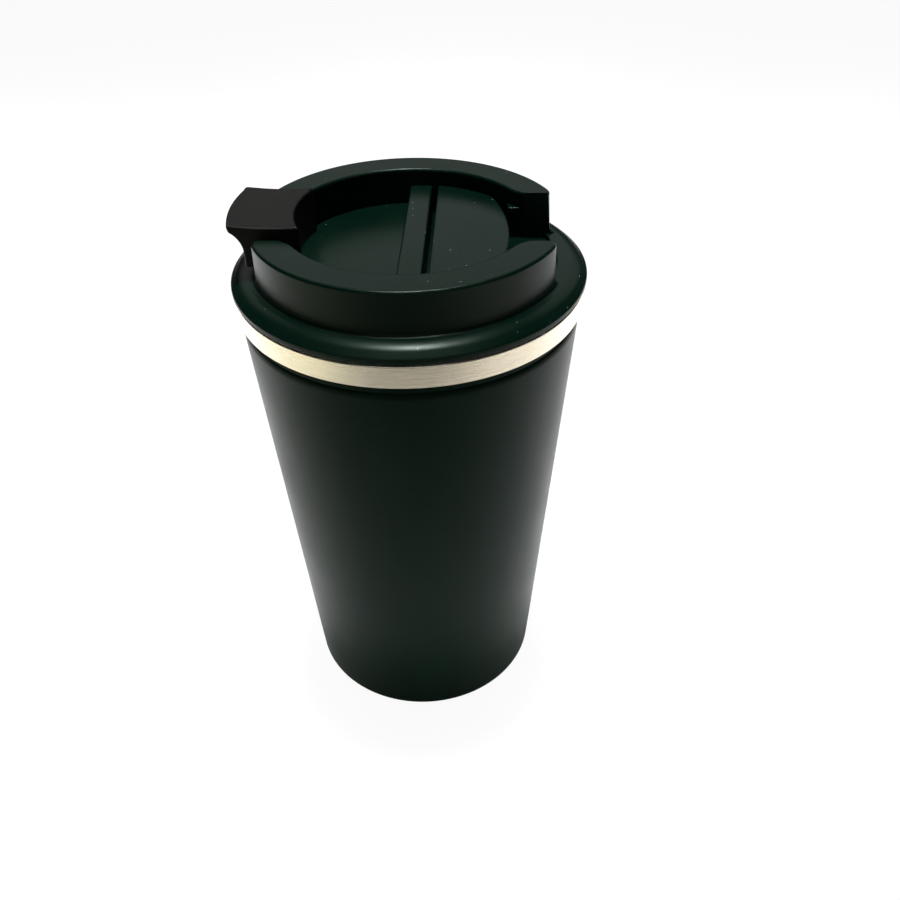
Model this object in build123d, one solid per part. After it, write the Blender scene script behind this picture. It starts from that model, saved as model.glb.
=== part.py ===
from build123d import *

import math
import os

# An insulated travel mug: a double-walled steel cup, a screw-in plastic lid and a flap that
# flips over to uncover the drinking hole. Millimetres, +Z up, the origin on the table under the
# middle of the cup. The flap's thumb tab is at -X, and the notch it drops into when open at +X.

# Cup, from the table up
pad_depth = 0.4             # how far the rubber pad stands below the steel
foot_radius = 34.0          # outer wall at the foot
foot_rounding = 2.5
shoulder_radius = 43.55     # outer wall where the coating ends
shoulder_height = 124.1
shoulder_rounding = 0.6
wall = 0.8                  # every steel wall
neck_radius = 42.9          # outer wall above the shoulder, behind the bare ring
ring_foot_radius = 44.4     # bare steel ring round the mouth
ring_foot_height = 126.5
ring_top_radius = 44.6
ring_rounding = 0.55
mouth_height = 132.4        # top of the cup
mouth_radius = 40.0         # inside of the threaded mouth
seat_radius = 37.9          # inside of the cup just under the mouth
seat_slope = 45.0           # degrees
vessel_foot_radius = 31.0   # outside of the inner vessel at its floor
vessel_foot_height = 5.4
vessel_rounding = 8.0
base_lip_radius = 30.0      # opening in the underside of the outer wall
base_disc_clearance = 0.1
pad_clearance = 0.2
pad_ring_share = 0.8        # inside of the pad's standing ring, as a share of its radius
dimple_radius = 10.0        # raised middle of the base disc, round the vacuum port
dimple_depth = 1.8
port_radius = 1.5
getter_radius = 4.0
getter_place = 18.0

# Lid
rim_height = 134.4          # top edge of the flange
rim_radius = 45.0
rim_thickness = 1.8
rim_draft = 0.1             # the rim is this much smaller at its underside
rim_rounding = 0.4
spigot_clearance = 0.3      # underside of the lid steps down this far outside the mouth
roll_radius = 42.2          # crest of the roll inside the rim
roll_height = 136.6
roll_rounding = 2.4
collar_foot_rounding = 0.9
collar_radius = 39.25       # the raised ring round the flap
collar_foot_height = 136.9
collar_inner_radius = 30.5
collar_top_height = 147.9
collar_rounding = 0.8
collar_wall = 2.0
notch_half_width = 14.0     # the two gaps through the collar, at -X and +X
notch_reach = 40.4          # the notches are cut down to the deck as far out as this
deck_height = 135.6         # floor of the recess inside the collar
deck_thickness = 2.0
plug_radius = 38.4          # threaded part that goes down into the mouth
plug_foot_height = 118.4
plug_skirt = 3.0
liner_thickness = 1.8       # plate under the deck, inside the threaded part
liner_chamfer = 0.4
plug_lip = 0.6              # the lip under the gasket stands out this far
gasket_groove_radius = 36.9
gasket_groove_height = 119.2
gasket_radius = 38.6
gasket_height = 2.4
gasket_slack = 0.1          # flat faces of the gasket clear its groove by this much

# Thread
thread_starts = 3
thread_lead = 12.0
thread_arc = 150.0          # degrees that each start covers
thread_depth = 1.1
thread_root = 1.5           # axial width at the wall
thread_crest = 0.8
thread_foot_height = 122.6  # middle of the lid's thread at its lower end
thread_offset = 1.6         # the cup's thread runs this far above the lid's
thread_embed = 0.3          # how far a thread is sunk into its wall

# Flap, its hinge and the fixed cover opposite
hinge_height = 141.2
pin_radius = 1.0
pin_half_length = 31.8
pin_press_clearance = 0.02
pin_running_clearance = 0.05
bar_left = -1.3
bar_right = 4.7
bar_half_length = 29.6
bar_top_height = 143.7
bar_heel = 1.5              # right-hand end of the bar's foot
bar_tail_drop = 2.5         # the bar's tail reaches this far below the hinge
bar_rounding = 0.35
bar_overlap = 0.01          # the bar runs this far into the flap's floor
flap_radius = 29.7
flap_floor_height = 138.6
flap_thickness = 1.8
cover_left = 6.25
cover_radius = 30.3
cover_end = 25.3            # crown of the cover's curved end
cover_end_radius = 60.0
post_length = 2.4           # posts in the open tab's notch, along X and half of it along Y
cover_wall = 1.5
cover_rounding = 0.5

# Thumb tab, a soft cap over the flap's raised end
tab_half_width = 12.0
tab_inner_radius = 27.5
tab_inner_height = 150.2
tab_saddle_radius = 35.0
tab_saddle_height = 149.6
tab_lip_radius = 43.8
tab_lip_height = 150.6
tab_lip_thickness = 1.4
tab_leg_radius = 40.8
tab_leg_top_height = 147.2
tab_leg_foot_radius = 40.5
tab_leg_foot_height = 139.9
tab_skin = 1.6
tab_edge_rounding = 0.5
tab_saddle_rounding = 20.0
tab_leg_rounding = 1.0
core_clearance = 0.05       # hard core to soft skin
core_wall = 1.2

# Drinking hole, vent and their seal
drink_place = -20.0
drink_length = 14.0         # along Y
drink_width = 8.0
vent_place = -9.0
vent_radius = 1.3
vent_nub_clearance = 0.4
seal_nose_clearance = 0.7
seal_nose_depth = 1.2
seal_brim = 1.6             # the seal overlaps the hole's edge by this much
seal_face_gap = 0.1
stem_radius = 1.2
stem_height = 1.0
stem_spacing = 4.0


def turned(points, rounded=()):
    """A solid of revolution about Z from its (radius, height) outline.

    rounded lists (corner, radius) for the corners that are rounded off."""
    outline = make_face(Polyline(*points, close=True))
    for corner, rounding in rounded:
        vertex = outline.vertices().sort_by_distance((corner[0], corner[1], 0))[0]
        outline = fillet(vertex, rounding)
    return revolve(Plane.XZ * outline, Axis.Z)


def slab(outline, low, high):
    """A flat outline raised from one height to another."""
    return extrude(Pos(0, 0, low) * outline, high - low)


def box_between(low, high):
    """A box from its two extreme corners."""
    size = [h - l for l, h in zip(low, high)]
    middle = [(l + h) / 2 for l, h in zip(low, high)]
    return Pos(*middle) * Box(*size)


def thread(root_radius, tip_radius, foot_height):
    """The ridges of one multi-start thread, each a helical trapezoid."""
    into_wall = math.copysign(thread_embed, root_radius - tip_radius)
    rise = thread_lead * thread_arc / 360
    path = Helix(pitch=thread_lead, height=rise, radius=root_radius)
    section_plane = Plane(origin=path @ 0, x_dir=(1, 0, 0), z_dir=path % 0)
    crest = tip_radius - root_radius
    corners = [
        (into_wall, -thread_root / 2),
        (crest, -thread_crest / 2),
        (crest, thread_crest / 2),
        (into_wall, thread_root / 2),
    ]
    section = section_plane * make_face(Polyline(*corners, close=True))
    ridge = Pos(0, 0, foot_height) * sweep(section, path, is_frenet=True)
    return [Rot(0, 0, 360 * n / thread_starts) * ridge for n in range(thread_starts)]


def taper_radius(height):
    """Outer radius of the coated wall at a height."""
    slope = (shoulder_radius - foot_radius) / (shoulder_height - pad_depth)
    return foot_radius + slope * (height - pad_depth)


def outer_shell():
    """Coated steel wall: tapered, rolled in at the foot, stepped in at the shoulder."""
    inner_foot = pad_depth + wall
    step_height = shoulder_height - wall
    points = [
        (base_lip_radius, pad_depth),
        (foot_radius, pad_depth),
        (shoulder_radius, shoulder_height),
        (neck_radius, shoulder_height),
        (neck_radius, mouth_height - wall),
        (neck_radius - wall, mouth_height - wall),
        (neck_radius - wall, step_height),
        (taper_radius(step_height) - wall, step_height),
        (taper_radius(inner_foot) - wall, inner_foot),
        (base_lip_radius, inner_foot),
    ]
    rounded = [
        ((foot_radius, pad_depth), foot_rounding),
        ((taper_radius(inner_foot) - wall, inner_foot), foot_rounding - wall),
        ((shoulder_radius, shoulder_height), shoulder_rounding),
    ]
    return turned(points, rounded)


def rim_ring():
    """Bare steel ring that wraps the mouth and turns in over it."""
    inner_top = ring_top_radius - wall
    points = [
        (ring_foot_radius - wall, ring_foot_height),
        (ring_foot_radius, ring_foot_height),
        (ring_top_radius, mouth_height),
        (mouth_radius + wall, mouth_height),
        (mouth_radius + wall, mouth_height - wall),
        (inner_top, mouth_height - wall),
    ]
    return turned(points, [((ring_top_radius, mouth_height), ring_rounding)])


def inner_vessel():
    """Drinking vessel with a conical gasket seat and a rolled thread in its mouth."""
    seat_height = gasket_seat_height(seat_radius)
    mouth_foot = gasket_seat_height(mouth_radius)
    corner_drop = wall * math.tan(math.radians(seat_slope / 2))
    points = [
        (0, vessel_foot_height),
        (vessel_foot_radius, vessel_foot_height),
        (seat_radius + wall, seat_height - corner_drop),
        (mouth_radius + wall, mouth_foot - corner_drop),
        (mouth_radius + wall, mouth_height),
        (mouth_radius, mouth_height),
        (mouth_radius, mouth_foot),
        (seat_radius, seat_height),
        (vessel_foot_radius - wall, vessel_foot_height + wall),
        (0, vessel_foot_height + wall),
    ]
    rounded = [
        ((vessel_foot_radius, vessel_foot_height), vessel_rounding),
        ((vessel_foot_radius - wall, vessel_foot_height + wall), vessel_rounding - wall),
    ]
    vessel = turned(points, rounded)
    foot = thread_foot_height + thread_offset
    for ridge in thread(mouth_radius, mouth_radius - thread_depth, foot):
        vessel += ridge
    return vessel


def base_disc():
    """Disc that closes the vacuum space, with a raised middle round the vacuum port."""
    low = pad_depth + wall
    raised = low + dimple_depth
    edge = foot_radius - foot_rounding - base_disc_clearance
    points = [
        (port_radius, raised),
        (dimple_radius - wall, raised),
        (dimple_radius, low),
        (edge, low),
        (edge, low + wall),
        (dimple_radius + wall, low + wall),
        (dimple_radius, raised + wall),
        (port_radius, raised + wall),
    ]
    return turned(points)


def vacuum_seal():
    """Solder bead that closes the vacuum port from below."""
    underside = pad_depth + wall + dimple_depth
    bead = Pos(0, 0, underside - wall / 2) * Cylinder(port_radius * 2, wall)
    bead = fillet(bead.edges().filter_by(GeomType.CIRCLE).group_by(Axis.Z)[0], wall / 2)
    stem = Pos(0, 0, underside + wall / 2) * Cylinder(port_radius - pin_press_clearance, wall)
    return bead + stem


def getter():
    """Pellet that soaks up the last gas in the vacuum space, welded to the base disc."""
    foot = pad_depth + 2 * wall
    pellet = Pos(getter_place, 0, foot + wall / 2) * Cylinder(getter_radius, wall)
    return chamfer(pellet.edges().group_by(Axis.Z)[-1], wall / 3)


def base_pad():
    """Rubber pad in the foot: it stands on an outer ring, with a shallow hollow inside."""
    radius = base_lip_radius - pad_clearance
    ring_inside = radius * pad_ring_share
    top = pad_depth + wall
    points = [
        (0, pad_depth),
        (ring_inside - pad_depth, pad_depth),
        (ring_inside, 0),
        (radius, 0),
        (radius, top),
        (0, top),
    ]
    return turned(points, [((radius, 0), pad_depth / 2)])


def gasket_seat_height(radius):
    """Height of the cup's 45 degree gasket seat at a radius."""
    gasket_foot = gasket_groove_height + gasket_slack
    chamfer_start = gasket_radius - gasket_height / 4
    return gasket_foot - chamfer_start + radius - gasket_slack * math.sqrt(2)


def lid_cover():
    """Upper moulding: flange, hollow collar with two notches, and the deck inside it."""
    underside = deck_height - deck_thickness
    flange_foot = rim_height - rim_thickness
    spigot = mouth_radius + spigot_clearance
    points = [
        (0, underside),
        (spigot, underside),
        (spigot, flange_foot),
        (rim_radius - rim_draft, flange_foot),
        (rim_radius, rim_height),
        (roll_radius, roll_height),
        (collar_radius, collar_foot_height),
        (collar_radius, collar_top_height),
        (collar_inner_radius, collar_top_height),
        (collar_inner_radius, deck_height),
        (0, deck_height),
    ]
    rounded = [
        ((rim_radius, rim_height), rim_rounding),
        ((roll_radius, roll_height), roll_rounding),
        ((collar_radius, collar_foot_height), collar_foot_rounding),
        ((collar_radius, collar_top_height), collar_rounding),
        ((collar_inner_radius, collar_top_height), collar_rounding),
    ]
    cover = turned(points, rounded)
    gap = Circle(notch_reach) & Rectangle(3 * rim_radius, 2 * notch_half_width)
    cover -= slab(gap, deck_height, collar_top_height + 1)
    for side in (-1, 1):
        cover += notch_post(side)
    cover -= collar_hollow(underside)
    cover -= deck_holes(underside, deck_height)
    pin_hole = Rot(90, 0, 0) * Cylinder(pin_radius + pin_running_clearance, 2 * pin_half_length + 1)
    return cover - Pos(0, 0, hinge_height) * pin_hole


def notch_post(side):
    """Post in an inner corner of the open tab's notch, as high as the fixed cover."""
    corner = math.sqrt(collar_inner_radius**2 - notch_half_width**2)
    middle_y = side * (notch_half_width + post_length)
    plan = Pos(corner, middle_y) * Rectangle(2 * post_length, 2 * post_length)
    plan &= Circle(collar_inner_radius + collar_wall / 2)
    return slab(plan, deck_height - deck_thickness / 2, bar_top_height)


def collar_hollow(foot):
    """The space moulded inside the collar, in two halves either side of the notches."""
    inside = collar_inner_radius + collar_wall
    outside = collar_radius - collar_wall
    ring = Circle(outside) - Circle(inside)
    keep_clear = Rectangle(3 * rim_radius, 2 * (notch_half_width + collar_wall))
    return slab(ring - keep_clear, foot, collar_top_height - collar_wall)


def deck_holes(low, high):
    """The drinking hole and the vent, cut from one height to another."""
    drink = Pos(drink_place, 0) * SlotOverall(drink_length, drink_width, rotation=90)
    vent = Pos(vent_place, 0) * Circle(vent_radius)
    return slab(drink + vent, low, high)


def lid_plug():
    """Lower moulding: the threaded skirt, with a groove for the gasket at its foot."""
    top = deck_height - deck_thickness
    groove_top = gasket_groove_height + gasket_height + 2 * gasket_slack
    inside = plug_radius - plug_skirt
    lip_radius = gasket_groove_radius + plug_lip
    points = [
        (inside, top),
        (plug_radius, top),
        (plug_radius, groove_top),
        (gasket_groove_radius, groove_top),
        (gasket_groove_radius, gasket_groove_height),
        (lip_radius, gasket_groove_height),
        (lip_radius, plug_foot_height),
        (inside, plug_foot_height),
    ]
    plug = turned(points)
    for ridge in thread(plug_radius, plug_radius + thread_depth, thread_foot_height):
        plug += ridge
    return plug


def lid_liner():
    """Flat plate welded under the deck, inside the skirt: it closes the hollow collar."""
    top = deck_height - deck_thickness
    radius = plug_radius - plug_skirt
    plate = slab(Circle(radius), top - liner_thickness, top)
    rim = plate.edges().group_by(Axis.Z)[0]
    plate = chamfer(rim, liner_chamfer)
    return plate - deck_holes(top - liner_thickness, top)


def lid_gasket():
    """Silicone ring: two lips outside, and a chamfered foot that meets the cup's seat."""
    inside = gasket_groove_radius + pin_running_clearance
    foot = gasket_groove_height + gasket_slack
    top = foot + gasket_height
    chamfer_size = gasket_height / 4
    valley = (foot + chamfer_size + top) / 2
    points = [
        (inside, foot),
        (gasket_radius - chamfer_size, foot),
        (gasket_radius, foot + chamfer_size),
        (gasket_radius - chamfer_size, valley),
        (gasket_radius, top - chamfer_size / 2),
        (gasket_radius - chamfer_size, top),
        (inside, top),
    ]
    return turned(points)


def cover_outline(inset):
    """Plan of the fixed cover: part of a disc, straight along the bar, its end a flat curve."""
    plan = Circle(cover_radius - inset)
    plan &= Pos(cover_end - cover_end_radius, 0) * Circle(cover_end_radius - inset)
    left = cover_left + inset
    return plan & Pos(left + cover_radius, 0) * Rectangle(2 * cover_radius, 4 * cover_radius)


def rear_cover():
    """Fixed cover over the other half of the recess, a shell standing on the deck."""
    shell = slab(cover_outline(0), deck_height, bar_top_height)
    top_edges = shell.edges().group_by(Axis.Z)[-1]
    shell = fillet(top_edges, cover_rounding)
    return shell - slab(cover_outline(cover_wall), deck_height, bar_top_height - cover_wall)


def hinge_pin():
    """Steel pin through the flap's bar, its ends in the collar."""
    pin = Rot(90, 0, 0) * Cylinder(pin_radius, 2 * pin_half_length)
    pin = chamfer(pin.edges().filter_by(GeomType.CIRCLE), pin_radius / 4)
    return Pos(0, 0, hinge_height) * pin


def flap_plate():
    """Flap: a half-disc floor, the bar that holds the pin, and the core of the thumb tab."""
    underside = flap_floor_height - flap_thickness
    plan = Circle(flap_radius)
    plan -= Pos(flap_radius + bar_left, 0) * Rectangle(2 * flap_radius, 2 * flap_radius)
    floor = slab(plan, underside, flap_floor_height)
    bar_points = [
        (bar_left - bar_overlap, bar_top_height),
        (bar_right, bar_top_height),
        (bar_right, hinge_height - bar_tail_drop),
        (bar_heel, hinge_height - bar_tail_drop),
        (bar_heel, underside),
        (bar_left - bar_overlap, underside),
    ]
    bar_section = Plane.XZ * make_face(Polyline(*bar_points, close=True))
    bar = extrude(bar_section, bar_half_length, both=True)
    bar_edges = bar.edges().filter_by(Axis.Y).group_by(Axis.Z)[-1]
    bar = fillet(bar_edges, bar_rounding)
    flap = floor + bar + tab_core(underside)
    pin_hole = Rot(90, 0, 0) * Cylinder(pin_radius + pin_press_clearance, 3 * bar_half_length)
    flap -= Pos(0, 0, hinge_height) * pin_hole
    for stem in seal_stems(pin_running_clearance):
        flap -= stem
    return flap


def tab_core(foot):
    """Hard wall and ledge under the thumb tab, curved with the collar."""
    inner = tab_inner_radius + tab_skin + core_clearance
    outer = tab_leg_foot_radius - tab_skin - core_clearance
    top = tab_leg_top_height
    points = [
        (inner, foot),
        (inner + core_wall, foot),
        (inner + core_wall, top - core_wall),
        (outer, top - core_wall),
        (outer, top),
        (inner, top),
    ]
    width = tab_half_width - tab_skin - core_clearance
    return turned(points) & tab_sector(width)


def tab_sector(half_width):
    """The block of space that the tab takes up, left of the recess."""
    low = (-rim_radius, -half_width, 0)
    high = (-tab_inner_radius / 2, half_width, 2 * rim_height)
    return box_between(low, high)


def thumb_tab():
    """Soft cap: saddle-shaped top with an overhanging lip, a leg outside, a wall inside."""
    foot = flap_floor_height + core_clearance
    pocket_top = tab_leg_top_height + core_clearance
    lip_foot = tab_lip_height - tab_lip_thickness
    points = [
        (tab_inner_radius, foot),
        (tab_inner_radius, tab_inner_height),
        (tab_saddle_radius, tab_saddle_height),
        (tab_lip_radius, tab_lip_height),
        (tab_lip_radius, lip_foot),
        (tab_leg_radius, tab_leg_top_height),
        (tab_leg_foot_radius, tab_leg_foot_height),
        (tab_leg_foot_radius - tab_skin, tab_leg_foot_height),
        (tab_leg_foot_radius - tab_skin, pocket_top),
        (tab_inner_radius + tab_skin, pocket_top),
        (tab_inner_radius + tab_skin, foot),
    ]
    rounded = [
        ((tab_inner_radius, tab_inner_height), tab_edge_rounding),
        ((tab_saddle_radius, tab_saddle_height), tab_saddle_rounding),
        ((tab_lip_radius, tab_lip_height), tab_edge_rounding),
        ((tab_leg_radius, tab_leg_top_height), tab_leg_rounding),
    ]
    cap = turned(points, rounded) & tab_sector(tab_half_width)
    pocket_points = [
        (tab_inner_radius + tab_skin, foot),
        (tab_leg_foot_radius - tab_skin, foot),
        (tab_leg_foot_radius - tab_skin, pocket_top),
        (tab_inner_radius + tab_skin, pocket_top),
    ]
    side_skins = turned(pocket_points) & tab_sector(tab_half_width)
    side_skins -= tab_sector(tab_half_width - tab_skin)
    side_skins -= box_between(
        (-rim_radius, -rim_radius, 0), (0, rim_radius, tab_leg_foot_height)
    )
    return cap + side_skins


def seal_stems(clearance):
    """Two stems that hold the seal in blind sockets under the flap."""
    foot = flap_floor_height - flap_thickness
    height = stem_height + clearance
    return [
        Pos(drink_place, side * stem_spacing, foot + height / 2)
        * Cylinder(stem_radius + clearance, height)
        for side in (-1, 1)
    ]


def flap_seal():
    """Silicone seal under the flap: a plug for the drinking hole and a nub for the vent."""
    top = flap_floor_height - flap_thickness
    face = deck_height + seal_face_gap
    brim = Pos(drink_place, 0) * SlotOverall(
        drink_length + 2 * seal_brim, drink_width + 2 * seal_brim, rotation=90
    )
    strap_middle = (drink_place + vent_place) / 2
    strap = Pos(strap_middle, 0) * Rectangle(vent_place - drink_place, 2 * vent_radius)
    pad = Pos(vent_place, 0) * Circle(vent_radius + seal_brim)
    seal = slab(brim + strap + pad, face, top)
    nose_plan = Pos(drink_place, 0) * SlotOverall(
        drink_length - 2 * seal_nose_clearance,
        drink_width - 2 * seal_nose_clearance,
        rotation=90,
    )
    nub_plan = Pos(vent_place, 0) * Circle(vent_radius - vent_nub_clearance)
    seal += slab(nose_plan, face - seal_nose_depth, face)
    seal += slab(nub_plan, face - seal_nose_depth / 2, face)
    for stem in seal_stems(0):
        seal += stem
    return seal


parts = {
    "outer_shell": outer_shell(),
    "rim_ring": rim_ring(),
    "inner_vessel": inner_vessel(),
    "base_disc": base_disc(),
    "vacuum_seal": vacuum_seal(),
    "getter": getter(),
    "base_pad": base_pad(),
    "lid_cover": lid_cover(),
    "lid_plug": lid_plug(),
    "lid_liner": lid_liner(),
    "lid_gasket": lid_gasket(),
    "rear_cover": rear_cover(),
    "hinge_pin": hinge_pin(),
    "flap_plate": flap_plate(),
    "thumb_tab": thumb_tab(),
    "flap_seal": flap_seal(),
}

os.makedirs("parts", exist_ok=True)
for name, shape in parts.items():
    export_step(shape, f"parts/{name}.step")
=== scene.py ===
import math

import bpy
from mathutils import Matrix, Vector


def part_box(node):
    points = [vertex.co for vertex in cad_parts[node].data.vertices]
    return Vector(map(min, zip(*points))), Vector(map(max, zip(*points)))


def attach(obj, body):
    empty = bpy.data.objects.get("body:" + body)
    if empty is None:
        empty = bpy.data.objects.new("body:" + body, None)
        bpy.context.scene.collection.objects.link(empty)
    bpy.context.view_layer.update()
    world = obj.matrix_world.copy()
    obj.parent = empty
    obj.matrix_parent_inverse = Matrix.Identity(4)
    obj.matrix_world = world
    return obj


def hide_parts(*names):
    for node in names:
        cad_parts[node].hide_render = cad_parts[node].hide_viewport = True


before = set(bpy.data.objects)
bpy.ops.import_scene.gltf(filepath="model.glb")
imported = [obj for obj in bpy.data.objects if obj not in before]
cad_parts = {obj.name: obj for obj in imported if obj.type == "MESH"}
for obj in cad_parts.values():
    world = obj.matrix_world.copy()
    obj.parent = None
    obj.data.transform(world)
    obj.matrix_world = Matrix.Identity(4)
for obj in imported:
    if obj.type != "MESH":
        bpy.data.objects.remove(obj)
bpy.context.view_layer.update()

mm = 0.001

# Outer shell of the cup: deep-drawn steel sheet, tapered, rolled in at the foot and stepped in at
# the shoulder so that the bare ring can wrap its neck. It is powder coated matt green-black.


def deselect():
    """Leaves nothing selected and no object active for edit mode."""
    bpy.ops.object.select_all(action="DESELECT")


def pick(mode, wanted):
    """Selects, in edit mode, only the vertices, edges or faces whose middle satisfies wanted."""
    bpy.ops.mesh.select_mode(type=mode)
    bpy.ops.mesh.select_all(action="DESELECT")
    bpy.ops.object.mode_set(mode="OBJECT")
    mesh = bpy.context.active_object.data
    if mode == "VERT":
        for vertex in mesh.vertices:
            vertex.select = wanted(vertex.co)
    elif mode == "EDGE":
        for edge in mesh.edges:
            a, b = (mesh.vertices[i].co for i in edge.vertices)
            edge.select = wanted(a, b)
    else:
        for face in mesh.polygons:
            face.select = wanted(face.center, face.normal)
    bpy.ops.object.mode_set(mode="EDIT")


def near(value, target):
    """True when two lengths agree within a hundredth of a millimetre."""
    return abs(value - target) < 0.01 * mm


def reach(point):
    """Distance of a point from the cup's axis."""
    return math.hypot(point.x, point.y)


def draw_outline(name, points, rounded=()):
    """Draws a closed outline of (x, z) points in mm at y = 0, rounds the listed corners, and
    leaves it selected in edit mode. rounded lists (corner, distance along its edges, segments)."""
    deselect()
    first = points[0]
    bpy.ops.mesh.primitive_plane_add(size=mm, location=(first[0] * mm, 0, first[1] * mm))
    piece = bpy.context.active_object
    piece.name = piece.data.name = name
    bpy.ops.object.transform_apply(location=True, rotation=True, scale=True)
    bpy.ops.object.mode_set(mode="EDIT")
    bpy.ops.mesh.merge(type="CENTER")
    for here, there in zip(points, points[1:]):
        step = ((there[0] - here[0]) * mm, 0, (there[1] - here[1]) * mm)
        bpy.ops.mesh.extrude_region_move(TRANSFORM_OT_translate={"value": step})
    ends = (points[0], points[-1])
    pick("VERT", lambda p: any(near(p.x, x * mm) and near(p.z, z * mm) for x, z in ends))
    bpy.ops.mesh.edge_face_add()
    for (x, z), distance, segments in rounded:
        pick("VERT", lambda p: near(p.x, x * mm) and near(p.z, z * mm))
        bpy.ops.mesh.bevel(
            offset=distance * mm, offset_type="OFFSET", segments=segments, affect="VERTICES"
        )
    bpy.ops.mesh.select_all(action="SELECT")
    return piece


def turn(piece, columns):
    """Spins the selected outline once round the cup's axis and closes the seam and the poles."""
    bpy.ops.mesh.spin(steps=columns, angle=2 * math.pi, center=(0, 0, 0), axis=(0, 0, 1))
    bpy.ops.mesh.select_all(action="SELECT")
    bpy.ops.mesh.remove_doubles(threshold=0.002 * mm)
    bpy.ops.mesh.delete_loose()
    bpy.ops.mesh.select_all(action="SELECT")
    bpy.ops.mesh.normals_make_consistent(inside=False)
    bpy.ops.object.mode_set(mode="OBJECT")
    return piece


def smooth(piece, degrees=38):
    """Smooth shading with sharp edges kept, and normals that follow the larger faces."""
    deselect()
    piece.select_set(True)
    bpy.context.view_layer.objects.active = piece
    bpy.ops.object.shade_smooth_by_angle(angle=math.radians(degrees))
    weighted = piece.modifiers.new("even normals", "WEIGHTED_NORMAL")
    weighted.keep_sharp = True
    bpy.ops.object.modifier_apply(modifier=weighted.name)


def dress(piece, material):
    """Gives a piece, or a part carried over from the frame, its one material."""
    piece.data.materials.clear()
    piece.data.materials.append(material)


def settle(piece, material, body, slot, *nodes):
    """Finishes a modelled piece: its material, its body, and the nodes that it stands for, which
    are hidden. The slot is not used.
    """
    dress(piece, material)
    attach(piece, body)
    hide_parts(*nodes)


def new_group(name, inputs, outputs):
    """A shader node group with named value inputs and named outputs of the given types."""
    group = bpy.data.node_groups.new(name, "ShaderNodeTree")
    for label, value in inputs.items():
        socket = group.interface.new_socket(label, in_out="INPUT", socket_type="NodeSocketFloat")
        socket.default_value = value
    for label, kind in outputs.items():
        group.interface.new_socket(label, in_out="OUTPUT", socket_type=kind)
    return group, group.nodes.new("NodeGroupInput"), group.nodes.new("NodeGroupOutput")


def math_node(tree, operation, *values):
    """A Math node whose inputs are sockets or numbers; returns its output."""
    node = tree.nodes.new("ShaderNodeMath")
    node.operation = operation
    for socket, value in zip(node.inputs, values):
        if isinstance(value, bpy.types.NodeSocket):
            tree.links.new(value, socket)
        else:
            socket.default_value = value
    return node.outputs[0]


def spread(tree, value, low, high, to_low=0.0, to_high=1.0):
    """Maps a value from one span to another, clamped; returns the result."""
    node = tree.nodes.new("ShaderNodeMapRange")
    tree.links.new(value, node.inputs["Value"])
    node.inputs["From Min"].default_value = low
    node.inputs["From Max"].default_value = high
    node.inputs["To Min"].default_value = to_low
    node.inputs["To Max"].default_value = to_high
    return node.outputs["Result"]


def noise(tree, vector, scale, detail=2.0, roughness=0.5):
    """A Noise texture on a vector, its scale a number or a socket; returns its value."""
    node = tree.nodes.new("ShaderNodeTexNoise")
    tree.links.new(vector, node.inputs["Vector"])
    if isinstance(scale, bpy.types.NodeSocket):
        tree.links.new(scale, node.inputs["Scale"])
    else:
        node.inputs["Scale"].default_value = scale
    node.inputs["Detail"].default_value = detail
    node.inputs["Roughness"].default_value = roughness
    return node.outputs["Fac"]


def place_in(tree):
    """Object coordinates, in metres."""
    return tree.nodes.new("ShaderNodeTexCoord").outputs["Object"]


def skin_group():
    """Fine grain of a coated or moulded surface, and slow drift of its tone and gloss."""
    group, given, made = new_group(
        "skin",
        {"Grain per metre": 2400.0, "Drift per metre": 45.0, "Gloss low": 0.3, "Gloss high": 0.4},
        {"Height": "NodeSocketFloat", "Tone": "NodeSocketFloat", "Roughness": "NodeSocketFloat"},
    )
    place = place_in(group)
    fine = noise(group, place, given.outputs["Grain per metre"], 3.0, 0.6)
    coarse_scale = math_node(group, "MULTIPLY", given.outputs["Grain per metre"], 0.3)
    coarse = noise(group, place, coarse_scale)
    height = math_node(group, "ADD", fine, math_node(group, "MULTIPLY", coarse, 0.6))
    drift = noise(group, place, given.outputs["Drift per metre"], 4.0, 0.55)
    tone = spread(group, drift, 0.3, 0.7)
    span = math_node(group, "SUBTRACT", given.outputs["Gloss high"], given.outputs["Gloss low"])
    rough = math_node(group, "MULTIPLY_ADD", tone, span, given.outputs["Gloss low"])
    group.links.new(height, made.inputs["Height"])
    group.links.new(tone, made.inputs["Tone"])
    group.links.new(rough, made.inputs["Roughness"])
    return group


def dust_group():
    """Specks of pale dust, each in a cell of its own, that lie only on surfaces facing up."""
    group, given, made = new_group(
        "dust",
        {"Cells per metre": 500.0, "Share of cells": 0.1, "Speck size": 0.11},
        {"Mask": "NodeSocketFloat"},
    )
    cells = group.nodes.new("ShaderNodeTexVoronoi")
    group.links.new(place_in(group), cells.inputs["Vector"])
    group.links.new(given.outputs["Cells per metre"], cells.inputs["Scale"])
    chance = group.nodes.new("ShaderNodeSeparateColor")
    group.links.new(cells.outputs["Color"], chance.inputs["Color"])
    chosen = math_node(group, "LESS_THAN", chance.outputs["Red"], given.outputs["Share of cells"])
    size = math_node(group, "MULTIPLY", given.outputs["Speck size"], chance.outputs["Green"])
    speck = math_node(group, "LESS_THAN", cells.outputs["Distance"], size)
    facing = group.nodes.new("ShaderNodeSeparateXYZ")
    group.links.new(group.nodes.new("ShaderNodeNewGeometry").outputs["Normal"], facing.inputs[0])
    upward = spread(group, facing.outputs["Z"], 0.5, 0.9)
    mask = math_node(group, "MULTIPLY", math_node(group, "MULTIPLY", chosen, speck), upward)
    group.links.new(mask, made.inputs["Mask"])
    return group


skin = skin_group()
dust = dust_group()


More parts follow.
